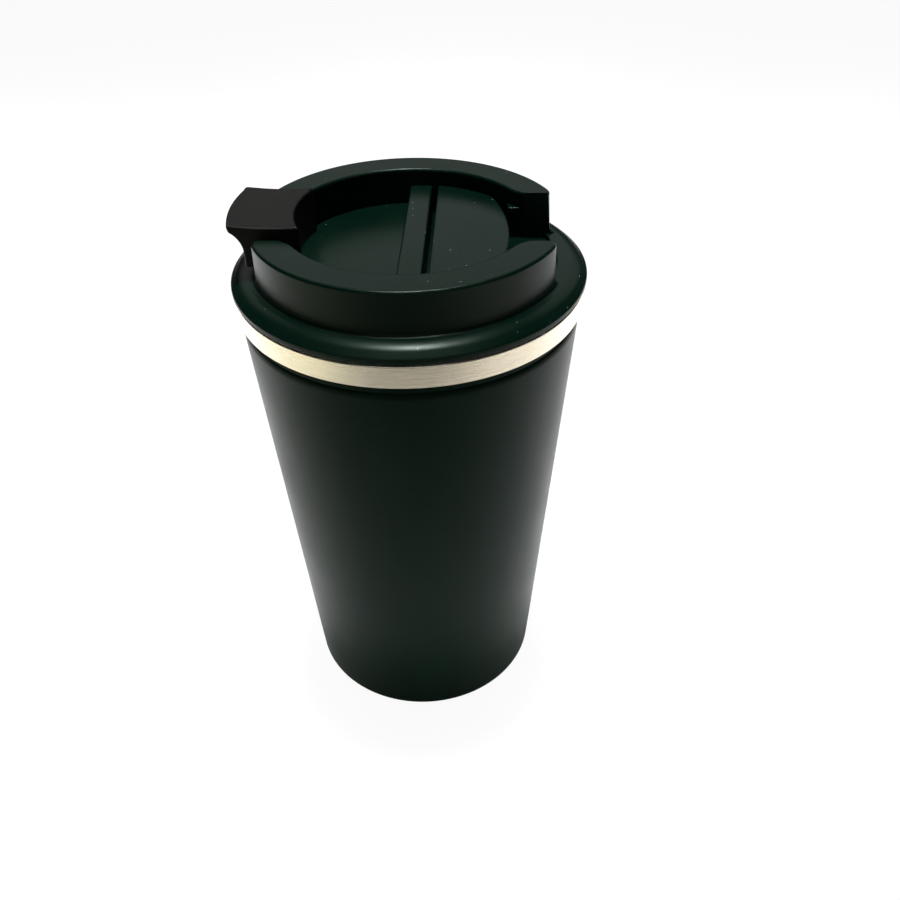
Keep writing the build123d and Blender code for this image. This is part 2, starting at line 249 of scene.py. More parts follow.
def placed(tree, group, **values):
    """A node group placed in a material with its own values."""
    node = tree.nodes.new("ShaderNodeGroup")
    node.node_tree = group
    for label, value in values.items():
        node.inputs[label.replace("_", " ")].default_value = value
    return node


def two_tone(tree, factor, first, second):
    """A colour between two, by a factor socket."""
    node = tree.nodes.new("ShaderNodeMix")
    node.data_type = "RGBA"
    tree.links.new(factor, node.inputs["Factor"])
    for socket, value in ((node.inputs[6], first), (node.inputs[7], second)):
        if isinstance(value, bpy.types.NodeSocket):
            tree.links.new(value, socket)
        else:
            socket.default_value = (*value, 1)
    return node.outputs[2]


def shader(name, **values):
    """A new material's node tree and its Principled shader, with fixed values on its sockets."""
    material = bpy.data.materials.new(name)
    material.use_nodes = True
    tree = material.node_tree
    surface = tree.nodes["Principled BSDF"]
    for label, value in values.items():
        surface.inputs[label.replace("_", " ")].default_value = value
    return material, tree, surface


def bump(tree, surface, height, depth, strength=1.0):
    """Feeds a height, in the given depth in metres, to a shader's normal."""
    node = tree.nodes.new("ShaderNodeBump")
    node.inputs["Strength"].default_value = strength
    node.inputs["Distance"].default_value = depth
    tree.links.new(height, node.inputs["Height"])
    tree.links.new(node.outputs["Normal"], surface.inputs["Normal"])


def skinned(
    name, dark, light, speck, grain, gloss, depth, specular, dusty=0.1, sheen=(1, 1, 1, 1)
):
    """A grained skin: two close tones, drifting gloss, fine relief and a few specks of dust."""
    material, tree, surface = shader(name, Specular_IOR_Level=specular, Specular_Tint=sheen)
    relief = placed(tree, skin, Grain_per_metre=grain, Gloss_low=gloss[0], Gloss_high=gloss[1])
    specks = placed(tree, dust, Share_of_cells=dusty)
    tone = two_tone(tree, relief.outputs["Tone"], dark, light)
    colour = two_tone(tree, specks.outputs["Mask"], tone, speck)
    tree.links.new(colour, surface.inputs["Base Color"])
    tree.links.new(relief.outputs["Roughness"], surface.inputs["Roughness"])
    bump(tree, surface, relief.outputs["Height"], depth)
    return material


coating = skinned(
    "powder_coating", (0.0004, 0.0092, 0.0050), (0.0009, 0.0112, 0.0062), (0.05, 0.06, 0.055),
    grain=1500, gloss=(0.30, 0.37), depth=0.012 * mm, specular=0.08, dusty=0.02,
    sheen=(0.75, 1.0, 0.86, 1),
)

shell_low, shell_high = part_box("outer_shell")
coat_foot = shell_low.z / mm
neck_top = shell_high.z / mm
shoulder_radius = 43.55
shoulder_height = 124.1
shoulder_drop = 1.1
shoulder_draw_in = 0.4
neck_radius = 42.9
foot_radius = 34.0
sheet = 0.8
lip_radius = 30.0
slope = (shoulder_radius - foot_radius) / (shoulder_height - coat_foot)
wall_inside_top = shoulder_radius - slope * sheet - sheet
wall_inside_foot = foot_radius + slope * sheet - sheet
shell = draw_outline(
    "outer_shell_coated",
    [
        (lip_radius, coat_foot),
        (foot_radius, coat_foot),
        (shoulder_radius, shoulder_height - shoulder_drop),
        (shoulder_radius - shoulder_draw_in, shoulder_height),
        (neck_radius, shoulder_height),
        (neck_radius, neck_top),
        (neck_radius - sheet, neck_top),
        (neck_radius - sheet, shoulder_height - sheet),
        (wall_inside_top, shoulder_height - sheet),
        (wall_inside_foot, coat_foot + sheet),
        (lip_radius, coat_foot + sheet),
    ],
    [
        ((foot_radius, coat_foot), 2.3, 8),
        ((wall_inside_foot, coat_foot + sheet), 1.5, 4),
        ((shoulder_radius, shoulder_height - shoulder_drop), 0.55, 4),
        ((shoulder_radius - shoulder_draw_in, shoulder_height), 0.2, 3),
    ],
)
turn(shell, 256)
smooth(shell)
settle(shell, coating, "cup", "coating", "outer_shell")

# Bare steel ring: a spun band that wraps the neck under the lid and turns in over the mouth. It
# is brushed round the cup and left uncoated, and it has a warm tint from the heat of its weld.


def brushed_group():
    """Marks of brushing round the cup: fine grooves, patches of gloss, and a few deeper scores."""
    group, given, made = new_group(
        "brushed_round",
        {"Grooves per metre": 5200.0, "Gloss low": 0.2, "Gloss high": 0.34},
        {
            "Height": "NodeSocketFloat",
            "Tone": "NodeSocketFloat",
            "Patch": "NodeSocketFloat",
            "Roughness": "NodeSocketFloat",
        },
    )
    place = group.nodes.new("ShaderNodeSeparateXYZ")
    group.links.new(place_in(group), place.inputs[0])
    x, y, z = place.outputs
    across = math_node(group, "MULTIPLY", z, given.outputs["Grooves per metre"])
    radius = math_node(group, "SQRT", math_node(
        group, "ADD", math_node(group, "MULTIPLY", x, x), math_node(group, "MULTIPLY", y, y)
    ))
    inward = math_node(group, "MULTIPLY", radius, given.outputs["Grooves per metre"])

    def along(rate):
        """A vector that runs slowly round the cup and fast across the grooves."""
        node = group.nodes.new("ShaderNodeCombineXYZ")
        group.links.new(math_node(group, "MULTIPLY", x, rate), node.inputs[0])
        group.links.new(math_node(group, "MULTIPLY", y, rate), node.inputs[1])
        group.links.new(math_node(group, "ADD", across, inward), node.inputs[2])
        return node.outputs[0]

    fine = noise(group, along(60.0), 1.0, 3.0, 0.6)
    scores = spread(group, noise(group, along(140.0), 0.35, 1.0), 0.66, 0.74)
    patch = noise(group, place_in(group), 55.0, 3.0, 0.5)
    height = math_node(group, "SUBTRACT", fine, math_node(group, "MULTIPLY", scores, 0.8))
    tone = spread(group, fine, 0.3, 0.7)
    span = math_node(group, "SUBTRACT", given.outputs["Gloss high"], given.outputs["Gloss low"])
    rough = math_node(group, "MULTIPLY_ADD", tone, span, given.outputs["Gloss low"])
    group.links.new(height, made.inputs["Height"])
    group.links.new(tone, made.inputs["Tone"])
    group.links.new(spread(group, patch, 0.35, 0.65), made.inputs["Patch"])
    group.links.new(rough, made.inputs["Roughness"])
    return group


brushed = brushed_group()


def brushed_metal(name, dark, light, tint, gloss, depth):
    """Brushed metal: two tones by groove, a patchy tint, and relief that runs round the cup."""
    material, tree, surface = shader(name, Metallic=1.0, Anisotropic=0.7, Anisotropic_Rotation=0.25)
    marks = placed(tree, brushed, Gloss_low=gloss[0], Gloss_high=gloss[1])
    tone = two_tone(tree, marks.outputs["Tone"], dark, light)
    colour = two_tone(tree, math_node(tree, "MULTIPLY", marks.outputs["Patch"], 0.7), tone, tint)
    tree.links.new(colour, surface.inputs["Base Color"])
    tree.links.new(marks.outputs["Roughness"], surface.inputs["Roughness"])
    bump(tree, surface, marks.outputs["Height"], depth)
    return material


ring_steel = brushed_metal(
    "ring_steel", (0.82, 0.76, 0.63), (0.95, 0.88, 0.75), (0.97, 0.88, 0.64),
    gloss=(0.20, 0.32), depth=0.002 * mm,
)

ring_low, ring_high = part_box("rim_ring")
ring_foot = ring_low.z / mm
ring_top = ring_high.z / mm
ring_top_radius = ring_high.x / mm
ring_flare = 0.2
ring_foot_radius = ring_top_radius - ring_flare
ring_inside = 40.8
ring = draw_outline(
    "rim_ring_brushed",
    [
        (ring_foot_radius - sheet, ring_foot),
        (ring_foot_radius, ring_foot),
        (ring_top_radius, ring_top),
        (ring_inside, ring_top),
        (ring_inside, ring_top - sheet),
        (ring_top_radius - sheet, ring_top - sheet),
    ],
    [
        ((ring_foot_radius, ring_foot), 0.12, 3),
        ((ring_top_radius, ring_top), 0.55, 5),
        ((ring_inside, ring_top), 0.15, 3),
    ],
)
turn(ring, 256)
smooth(ring)
settle(ring, ring_steel, "cup", "brushed_steel", "rim_ring")

# Inner vessel, base disc and hinge pin: bare stainless steel. The vessel and the disc are drawn
# and spun, and welded to the outer shell at the mouth and at the foot. The thread is rolled into
# the vessel's mouth. The pin is cut from ground wire.

vessel_steel = brushed_metal(
    "vessel_steel", (0.50, 0.49, 0.47), (0.62, 0.61, 0.59), (0.56, 0.55, 0.52),
    gloss=(0.24, 0.36), depth=0.003 * mm,
)
for node in ("inner_vessel", "base_disc", "hinge_pin"):
    dress(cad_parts[node], vessel_steel)

# Vacuum seal and getter: a bead of solder over the port in the base disc, and a sintered pellet
# beside it in the vacuum space.


def cast_skin(name, dark, light, grain, gloss, depth):
    """A rough cast or sintered metal skin in two tones."""
    material, tree, surface = shader(name, Metallic=1.0)
    relief = placed(tree, skin, Grain_per_metre=grain, Gloss_low=gloss[0], Gloss_high=gloss[1])
    tone = two_tone(tree, relief.outputs["Tone"], dark, light)
    tree.links.new(tone, surface.inputs["Base Color"])
    tree.links.new(relief.outputs["Roughness"], surface.inputs["Roughness"])
    bump(tree, surface, relief.outputs["Height"], depth)
    return material


solder = cast_skin(
    "solder", (0.36, 0.35, 0.33), (0.52, 0.51, 0.49),
    grain=900, gloss=(0.3, 0.5), depth=0.03 * mm,
)
getter_alloy = cast_skin(
    "getter_alloy", (0.16, 0.15, 0.15), (0.28, 0.27, 0.26),
    grain=4000, gloss=(0.6, 0.8), depth=0.05 * mm,
)
dress(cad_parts["vacuum_seal"], solder)
dress(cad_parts["getter"], getter_alloy)

# Base pad: a moulded rubber disc glued into the foot. It stands on its outer ring, and rings are
# moulded in the shallow hollow inside it.

pad_rubber = skinned(
    "pad_rubber", (0.016, 0.016, 0.016), (0.024, 0.024, 0.023), (0.05, 0.05, 0.05),
    grain=1800, gloss=(0.6, 0.75), depth=0.03 * mm, specular=0.3, dusty=0.0,
)
pad_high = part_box("base_pad")[1]
pad_radius = pad_high.x / mm
pad_top = pad_high.z / mm
pad_hollow = 0.4
ring_width = 6.0
groove_depth = 0.25
groove_half_mouth = 0.5
groove_half_floor = 0.2
standing_share = 0.8
pad_outline = [(0, pad_hollow)]
for ring_number in range(1, 4):
    middle = ring_number * ring_width
    pad_outline += [
        (middle - groove_half_mouth, pad_hollow),
        (middle - groove_half_floor, pad_hollow + groove_depth),
        (middle + groove_half_floor, pad_hollow + groove_depth),
        (middle + groove_half_mouth, pad_hollow),
    ]
standing_inside = standing_share * pad_radius
pad_outline += [
    (standing_inside - pad_hollow, pad_hollow),
    (standing_inside, 0),
    (pad_radius, 0),
    (pad_radius, pad_top),
    (0, pad_top),
]
pad = draw_outline(
    "base_pad_moulded",
    pad_outline,
    [((standing_inside, 0), 0.15, 3), ((pad_radius, 0), 0.2, 3)],
)
turn(pad, 128)
smooth(pad)
settle(pad, pad_rubber, "cup", "pad_rubber", "base_pad")

# Lid gasket and flap seal: food-grade silicone, pressed smooth, pushed on by hand.

silicone = skinned(
    "silicone", (0.42, 0.42, 0.40), (0.50, 0.50, 0.48), (0.5, 0.5, 0.5),
    grain=1200, gloss=(0.38, 0.5), depth=0.01 * mm, specular=0.45, dusty=0.0,
)
for node in ("lid_gasket", "flap_seal"):
    dress(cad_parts[node], silicone)

# Lid, lower mouldings: the threaded skirt and the flat plate welded inside it.

plastic = skinned(
    "lid_plastic", (0.0004, 0.0066, 0.0037), (0.0009, 0.0080, 0.0045), (0.16, 0.18, 0.17),
    grain=2600, gloss=(0.27, 0.34), depth=0.006 * mm, specular=0.15, dusty=0.5,
    sheen=(0.80, 1.0, 0.88, 1),
)
for node in ("lid_plug", "lid_liner"):
    dress(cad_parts[node], plastic)

# Lid cover: the upper moulding, in grained plastic. A flange with a roll laps over the steel
# ring, and a hollow collar stands on it, cut through at both ends so that the flap's tab can pass.

collar_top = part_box("lid_cover")[1].z / mm
rim_height = 134.4
rim_radius = 45.0
rim_foot = 132.6
rim_step_height = 0.55
rim_step_in = 0.4
rim_draft = 0.05
underside = 133.6
spigot_radius = 40.3
roll_radius = 42.2
roll_height = 136.6
collar_radius = 39.25
collar_inside = 30.5
shelf_height = 136.9
foot_fillet = 0.9
deck_height = 135.6
notch_half = 14.0
columns = 192
gap_columns = 13

lid = draw_outline(
    "lid_cover_moulded",
    [
        (0, underside),
        (spigot_radius, underside),
        (spigot_radius, rim_foot),
        (rim_radius - rim_step_in, rim_foot),
        (rim_radius - rim_step_in, rim_foot + rim_step_height),
        (rim_radius - rim_draft, rim_foot + rim_step_height),
        (rim_radius, rim_height),
        (roll_radius, roll_height),
        (collar_radius, shelf_height),
        (collar_radius, collar_top),
        (collar_inside, collar_top),
        (collar_inside, deck_height),
        (0, deck_height),
    ],
    [
        ((rim_radius - rim_step_in, rim_foot), 0.15, 3),
        ((rim_radius - rim_draft, rim_foot + rim_step_height), 0.12, 3),
        ((rim_radius, rim_height), 0.3, 4),
        ((roll_radius, roll_height), 1.6, 10),
        ((collar_radius, shelf_height), foot_fillet, 5),
        ((collar_radius, collar_top), 0.8, 5),
        ((collar_inside, collar_top), 0.8, 5),
    ],
)
turn(lid, columns)

# The columns beside each notch are slid round until they lie square to it, and the collar's
# ends are drawn in a little, so that its corners are round in plan.

collar_middle = (collar_radius + collar_inside) / 2
column_angle = 2 * math.pi / columns
end_steps = (0.0, 0.8, 1.7, 2.8)
outer_draw_in = 1.15
inner_draw_in = 1.7
settled_column = 32
moved_radius = 41.5
draw_in_height = 2.2
shelf_margin = 0.085
notch_rounding = 0.65
dam_radius = 39.3
step_radius = 37.5
shelf_edge = collar_radius + foot_fillet
fillet_top = shelf_height + foot_fillet


def on_foot_fillet(point):
    """True on the rings of the fillet between the flange's shelf and the foot of the collar."""
    level = (shelf_height - 0.3) * mm < point.z < (fillet_top + 0.02) * mm
    return level and (collar_radius - 0.02) * mm < reach(point) < (shelf_edge + 0.03) * mm


def slid(point):
    """Where a point of the lid's turned shape goes when the notch's columns are made square."""
    radius = reach(point)
    if not (collar_inside - 0.05) * mm <= radius <= moved_radius * mm:
        return point
    angle = math.atan2(abs(point.y), abs(point.x))
    column = round(angle / column_angle)
    past = column - gap_columns
    edge = math.asin((notch_half + end_steps[max(0, min(past, 3))]) * mm / radius)
    if past < 0:
        turned_to = edge * column / gap_columns
    elif past < len(end_steps):
        turned_to = edge
    elif column < settled_column:
        last = gap_columns + len(end_steps) - 1
        share = (column - last) / (settled_column - last)
        turned_to = edge + (settled_column * column_angle - edge) * share
    else:
        turned_to = angle
    if 0 <= past < len(end_steps):
        fade = (1 - end_steps[past] / end_steps[-1]) ** 2
        if radius > collar_middle * mm:
            rise = (point.z / mm - shelf_height) / draw_in_height
            radius -= outer_draw_in * mm * fade * max(0, min(1, rise))
        elif point.z > (deck_height - 0.1) * mm:
            radius += inner_draw_in * mm * fade
        turned_to = math.asin((notch_half + end_steps[past]) * mm / radius)
    if past < 0 and on_foot_fillet(point):
        radius = dam_radius * mm
        turned_to = math.asin(notch_half * mm / radius) * column / gap_columns
    x = math.copysign(radius * math.cos(turned_to), point.x)
    y = math.copysign(radius * math.sin(turned_to), point.y)
    return Vector((x, y, point.z))


for vertex in lid.data.vertices:
    if vertex.co.z > (deck_height - 0.2) * mm:
        vertex.co = slid(vertex.co)


def in_notch(middle, normal):
    """True for a face of the collar, or of the fillet at its foot, that the notches take away."""
    inside = (collar_inside - 0.3) * mm < reach(middle) < (shelf_edge + 0.05) * mm
    above_shelf = middle.z > (shelf_height - shelf_margin) * mm
    return inside and above_shelf and abs(middle.y) < (notch_half - 0.02) * mm


def level_with(height, a, b):
    """True for an edge that lies at a height and no further out than the dam."""
    return near(a.z, height * mm) and near(b.z, height * mm) and reach(a) < (dam_radius + 0.1) * mm


bpy.context.view_layer.objects.active = lid
bpy.ops.object.mode_set(mode="EDIT")
pick("FACE", in_notch)
bpy.ops.mesh.delete(type="FACE")
bpy.ops.mesh.select_mode(type="EDGE")
bpy.ops.mesh.select_all(action="DESELECT")
bpy.ops.mesh.select_non_manifold()
bpy.ops.object.mode_set(mode="OBJECT")
for edge in lid.data.edges:
    a, b = (lid.data.vertices[i].co for i in edge.vertices)
    on_rim = min(reach(a), reach(b)) > (dam_radius - 0.05) * mm
    between = min(abs(a.y), abs(b.y)) < (notch_half - 0.02) * mm and near(a.z, b.z)
    edge.select = edge.select and on_rim and between
bpy.ops.object.mode_set(mode="EDIT")
bpy.ops.mesh.extrude_region_move(TRANSFORM_OT_translate={"value": (0, 0, 0)})
bpy.ops.object.mode_set(mode="OBJECT")
for vertex in lid.data.vertices:
    if vertex.select:
        x = math.sqrt((step_radius * mm) ** 2 - vertex.co.y**2)
        vertex.co.x = math.copysign(x, vertex.co.x)
bpy.ops.object.mode_set(mode="EDIT")
bpy.ops.mesh.extrude_region_move(TRANSFORM_OT_translate={"value": (0, 0, -mm)})


def at_step_foot(point):
    """True for a vertex on the lower edge of the step at the notch's inner end."""
    return abs(reach(point) - step_radius * mm) < 0.03 * mm and point.z < (shelf_height - 0.9) * mm


pick("VERT", at_step_foot)
bpy.ops.transform.resize(value=(1, 1, 0), center_override=(0, 0, deck_height * mm))
for side in (-1, 1):
    bpy.ops.mesh.select_all(action="DESELECT")
    bpy.ops.mesh.select_mode(type="EDGE")
    bpy.ops.mesh.select_non_manifold()
    bpy.ops.object.mode_set(mode="OBJECT")
    for edge in lid.data.edges:
        a, b = (lid.data.vertices[i].co for i in edge.vertices)
        edge.select = edge.select and level_with(deck_height, a, b) and side * a.x > 0
    bpy.ops.object.mode_set(mode="EDIT")
    bpy.ops.mesh.bridge_edge_loops()
bpy.ops.mesh.select_all(action="SELECT")
bpy.ops.mesh.fill_holes(sides=0)
bpy.ops.mesh.select_all(action="SELECT")
bpy.ops.mesh.normals_make_consistent(inside=False)


def notch_corner(a, b):
    """True for the edges round the collar's ends, from its foot outside to the deck inside."""
    square = near(abs(a.y), notch_half * mm) and near(abs(b.y), notch_half * mm)
    above_shelf = min(a.z, b.z) > (shelf_height - 0.02) * mm
    tall = max(a.z, b.z) > (fillet_top + 1) * mm
    inner_upright = max(reach(a), reach(b)) < collar_middle * mm and tall
    return square and (above_shelf or inner_upright) and abs(a.x - b.x) + abs(a.z - b.z) > 1e-9


pick("EDGE", notch_corner)
bpy.ops.mesh.bevel(
    offset=notch_rounding * mm, offset_type="OFFSET", segments=4, affect="EDGES", clamp_overlap=True
)
bpy.ops.object.mode_set(mode="OBJECT")

# Posts moulded in the inner corners of the open tab's notch, the drinking hole and the vent in
# the deck, and the two bearings for the hinge pin are added to the cover and cut out of it.


def combine(piece, tool, operation):
    """Adds a tool's shape to a piece, or cuts it out, and removes the tool."""
    deselect()
    bpy.context.view_layer.objects.active = piece
    piece.select_set(True)
    cut = piece.modifiers.new("cut", "BOOLEAN")
    cut.operation = operation
    cut.solver = "EXACT"
    cut.object = tool
    bpy.ops.object.modifier_apply(modifier=cut.name)
    bpy.data.objects.remove(tool)


post_top = 143.7
post_size = (4.6, 4.4)
post_middle = (27.2, 16.5)
post_rounding = 0.8
post_top_rounding = 0.4
for side in (-1, 1):
    deselect()
    post_foot = deck_height - 0.5
    bpy.ops.mesh.primitive_cube_add(
        size=1,
        location=(post_middle[0] * mm, side * post_middle[1] * mm, (post_top + post_foot) / 2 * mm),
        scale=(post_size[0] * mm, post_size[1] * mm, (post_top - post_foot) * mm),
    )
    post = bpy.context.active_object
    bpy.ops.object.transform_apply(location=True, rotation=True, scale=True)
    bpy.ops.object.mode_set(mode="EDIT")
    pick("EDGE", lambda a, b: abs(a.z - b.z) > mm)
    bpy.ops.mesh.bevel(offset=post_rounding * mm, segments=4, affect="EDGES")
    pick("FACE", lambda middle, normal: normal.z > 0.9)
    bpy.ops.mesh.bevel(offset=post_top_rounding * mm, segments=3, affect="EDGES")
    bpy.ops.object.mode_set(mode="OBJECT")
    combine(lid, post, "UNION")

drinking_hole = (-20.0, 4.0, 3.0)
vent = (-9.0, 1.3, 0.0)
for place, radius, stretch in (drinking_hole, vent):
    deselect()
    bpy.ops.mesh.primitive_cylinder_add(
        vertices=64,
        radius=radius * mm,
        depth=6 * mm,
        location=(place * mm, 0, deck_height * mm),
        rotation=(0, 0, math.pi / 64),
    )
    hole = bpy.context.active_object
    bpy.ops.object.transform_apply(location=True, rotation=True, scale=True)
    bpy.ops.object.mode_set(mode="EDIT")
    for side in (-1, 1):
        pick("VERT", lambda p: side * p.y > 0)
        bpy.ops.transform.translate(value=(0, side * stretch * mm, 0))
    bpy.ops.object.mode_set(mode="OBJECT")
    combine(lid, hole, "DIFFERENCE")

pin_low, pin_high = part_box("hinge_pin")
pin_height = (pin_low.z + pin_high.z) / 2
pin_radius = (pin_high.z - pin_low.z) / 2
running_clearance = 0.05
deselect()
bpy.ops.mesh.primitive_cylinder_add(
    vertices=32,
    radius=pin_radius + running_clearance * mm,
    depth=2 * pin_high.y + mm,
    location=(0, 0, pin_height),
    rotation=(math.pi / 2, 0, 0),
)
combine(lid, bpy.context.active_object, "DIFFERENCE")
smooth(lid)
settle(lid, plastic, "lid", "lid_plastic", "lid_cover")

# Rear cover: a fixed cap over half of the recess, moulded as a shell and welded to the deck.

rear_low, rear_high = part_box("rear_cover")
rear_radius = 30.3
end_radius = 60.0
end_middle = rear_high.x / mm - end_radius
shell_wall = 1.5
corner_rounding = 0.8
top_rounding = 0.55
rear_depth = rear_high.z - rear_low.z
deselect()
bpy.ops.mesh.primitive_circle_add(vertices=160, radius=rear_radius * mm, fill_type="NGON")
rear = bpy.context.active_object
rear.name = rear.data.name = "rear_cover_moulded"
bpy.ops.object.mode_set(mode="EDIT")
bpy.ops.mesh.select_all(action="SELECT")
bpy.ops.mesh.bisect(plane_co=(rear_low.x, 0, 0), plane_no=(1, 0, 0), clear_inner=True)
bpy.ops.object.mode_set(mode="OBJECT")
for vertex in rear.data.vertices:
    crown = end_middle * mm + math.sqrt((end_radius * mm) ** 2 - vertex.co.y**2)
    vertex.co.x = min(vertex.co.x, crown)
    vertex.co.z = rear_low.z
bpy.ops.object.mode_set(mode="EDIT")
bpy.ops.mesh.select_all(action="SELECT")
bpy.ops.mesh.extrude_region_move(TRANSFORM_OT_translate={"value": (0, 0, rear_depth)})
bpy.ops.mesh.select_all(action="SELECT")
bpy.ops.mesh.normals_make_consistent(inside=False)
pick("EDGE", lambda a, b: abs(a.z - b.z) > mm and near(a.x, rear_low.x))
bpy.ops.mesh.bevel(offset=corner_rounding * mm, segments=4, affect="EDGES")
pick("FACE", lambda middle, normal: normal.z < -0.9)
bpy.ops.mesh.inset(thickness=shell_wall * mm)
bpy.ops.mesh.extrude_region_move(
    TRANSFORM_OT_translate={"value": (0, 0, rear_depth - shell_wall * mm)}
)
pick("EDGE", lambda a, b: near(a.z, rear_high.z) and near(b.z, rear_high.z))
bpy.ops.mesh.bevel(offset=top_rounding * mm, segments=4, affect="EDGES")
bpy.ops.object.mode_set(mode="OBJECT")
smooth(rear)
settle(rear, plastic, "lid", "lid_plastic", "rear_cover")

# Flap: a half-disc floor, the bar that the hinge pin runs through, and the hard wall and ledge
# that the soft tab is pulled over. One moulding, in the lid's plastic.

flap_radius = 29.7
flap_top = 138.6
flap_foot = 136.8
bar_left = -1.3
bar_heel = 1.5
bar_right = 4.7
bar_top = 143.7
tail_foot = 138.7
bar_rounding = 0.6
floor_rounding = 0.3
floor_depth = (flap_top - flap_foot) * mm
deselect()
bpy.ops.mesh.primitive_circle_add(vertices=160, radius=flap_radius * mm, fill_type="NGON")
flap = bpy.context.active_object
flap.name = flap.data.name = "flap_moulded"
bpy.ops.object.mode_set(mode="EDIT")
bpy.ops.mesh.select_all(action="SELECT")
bpy.ops.transform.translate(value=(0, 0, flap_foot * mm))
bpy.ops.mesh.bisect(plane_co=(bar_left * mm, 0, 0), plane_no=(1, 0, 0), clear_outer=True)
bpy.ops.mesh.select_all(action="SELECT")
bpy.ops.mesh.extrude_region_move(TRANSFORM_OT_translate={"value": (0, 0, floor_depth)})
bpy.ops.mesh.select_all(action="SELECT")
bpy.ops.mesh.normals_make_consistent(inside=False)


def pull_out(facing, at, step, above=0.0):
    """Extrudes the flap's face that looks along +X or +Z at a place, by a step in mm."""
    axis = 0 if facing == "x" else 2

    def wanted(middle, normal):
        """True for the face that is pulled out."""
        on_bar = middle.z > above * mm and (axis == 0 or middle.x > bar_left * mm)
        return on_bar and normal[axis] > 0.99 and near(middle[axis], at * mm)

    pick("FACE", wanted)
    bpy.ops.mesh.extrude_region_move(TRANSFORM_OT_translate={"value": [v * mm for v in step]})


pull_out("x", bar_left, (bar_heel - bar_left, 0, 0))
pull_out("z", flap_top, (0, 0, tail_foot - flap_top))
pull_out("z", tail_foot, (0, 0, bar_top - tail_foot))
pull_out("x", bar_heel, (bar_right - bar_heel, 0, 0), above=tail_foot)
pick("EDGE", lambda a, b: near(a.z, bar_top * mm) and near(b.z, bar_top * mm))
bpy.ops.mesh.bevel(offset=bar_rounding * mm, segments=5, affect="EDGES")


def round_the_floor(a, b):
    """True for the upper edge of the flap's curved side."""
    level = near(a.z, flap_top * mm) and near(b.z, flap_top * mm)
    outside = reach(a) > (flap_radius - 0.02) * mm and max(a.x, b.x) < (bar_left + 0.01) * mm
    under_bar = near(a.x, bar_left * mm) and near(b.x, bar_left * mm)
    return level and outside and not under_bar


pick("EDGE", round_the_floor)
bpy.ops.mesh.bevel(offset=floor_rounding * mm, segments=3, affect="EDGES")
bpy.ops.object.mode_set(mode="OBJECT")


def curve_across(piece, steps):
    """Carries an outline across from -Y to +Y, closes its ends and curves it round the cup."""
    bpy.ops.mesh.select_all(action="SELECT")
    bpy.ops.transform.translate(value=(0, steps[0] * mm, 0))
    for here, there in zip(steps, steps[1:]):
        step = (0, (there - here) * mm, 0)
        bpy.ops.mesh.extrude_region_move(TRANSFORM_OT_translate={"value": step})
    bpy.ops.mesh.select_all(action="SELECT")
    bpy.ops.mesh.fill_holes(sides=0)
    bpy.ops.object.mode_set(mode="OBJECT")
    for vertex in piece.data.vertices:
        radius = abs(vertex.co.x)
        vertex.co.x = -math.sqrt(max(radius**2 - vertex.co.y**2, 0))
    bpy.ops.object.mode_set(mode="EDIT")
    bpy.ops.mesh.select_all(action="SELECT")
    bpy.ops.mesh.normals_make_consistent(inside=False)


def even_steps(half):
    """Seventeen places spaced evenly from -half to half."""
    return [half * (n / 8 - 1) for n in range(17)]


core_half = 10.35
core_inside = 29.15
core_outside = 30.35
core_foot = flap_foot + 0.01
ledge_reach = 38.85
ledge_foot = 146.0
ledge_top = 147.2
core = draw_outline(
    "tab_core",
    [
        (-core_inside, core_foot),
        (-core_outside, core_foot),
        (-core_outside, ledge_foot),
        (-ledge_reach, ledge_foot),
        (-ledge_reach, ledge_top),
        (-core_inside, ledge_top),
    ],
)
curve_across(core, even_steps(core_half))
bpy.ops.object.mode_set(mode="OBJECT")
combine(flap, core, "UNION")
smooth(flap)
settle(flap, plastic, "flap", "lid_plastic", "flap_plate")

# Thumb tab: a soft moulded cap, pulled over the flap's wall and ledge. It has a saddle for the
# thumb, a raised bead along its sides, and a lip that overhangs a curved leg.

tab_rubber = skinned(
    "tab_rubber", (0.0055, 0.0052, 0.0048), (0.0077, 0.0074, 0.0067), (0.12, 0.12, 0.12),
    grain=2200, gloss=(0.42, 0.52), depth=0.016 * mm, specular=0.11, dusty=0.2,
)
tab_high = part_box("thumb_tab")[1]
tab_half = tab_high.y / mm
tab_top = tab_high.z / mm
tab_foot = 138.65
leg_foot = 139.9
leg_radius = 40.5
lip_radius_out = 43.8
tab_inside = 27.5
tab_skin = 1.6
saddle_place = 35.0
saddle_depth = 1.0
inner_edge_drop = 0.4
lip_depth = 1.6
lip_draft = 0.15
under_lip_drop = 3.6
leg_draft = 0.1
leg_toe = 0.5
side_rounding = 0.75
tab = draw_outline(
    "thumb_tab_soft",
    [
        (-tab_inside, tab_foot),
        (-tab_inside, tab_top - inner_edge_drop),
        (-saddle_place, tab_top - saddle_depth),
        (-lip_radius_out, tab_top),
        (-lip_radius_out + lip_draft, tab_top - lip_depth),
        (-leg_radius - leg_draft, tab_top - under_lip_drop),
        (-leg_radius, leg_foot),
        (-tab_inside - tab_skin - leg_toe, leg_foot),
        (-tab_inside - tab_skin, tab_foot),
    ],
    [
        ((-tab_inside, tab_top - inner_edge_drop), 0.6, 4),
        ((-saddle_place, tab_top - saddle_depth), 5.5, 8),
        ((-lip_radius_out, tab_top), 0.75, 5),
        ((-lip_radius_out + lip_draft, tab_top - lip_depth), 0.6, 5),
        ((-leg_radius - leg_draft, tab_top - under_lip_drop), 2.9, 8),
        ((-leg_radius, leg_foot), 0.4, 3),
    ],
)
across = [-tab_half + step for step in (0.0, 1.0, 1.7, 2.5, 4.0, 6.0, 8.0, 10.0, 12.0)]
across += [-place for place in reversed(across[:-1])]
curve_across(tab, across)
bpy.ops.object.mode_set(mode="OBJECT")
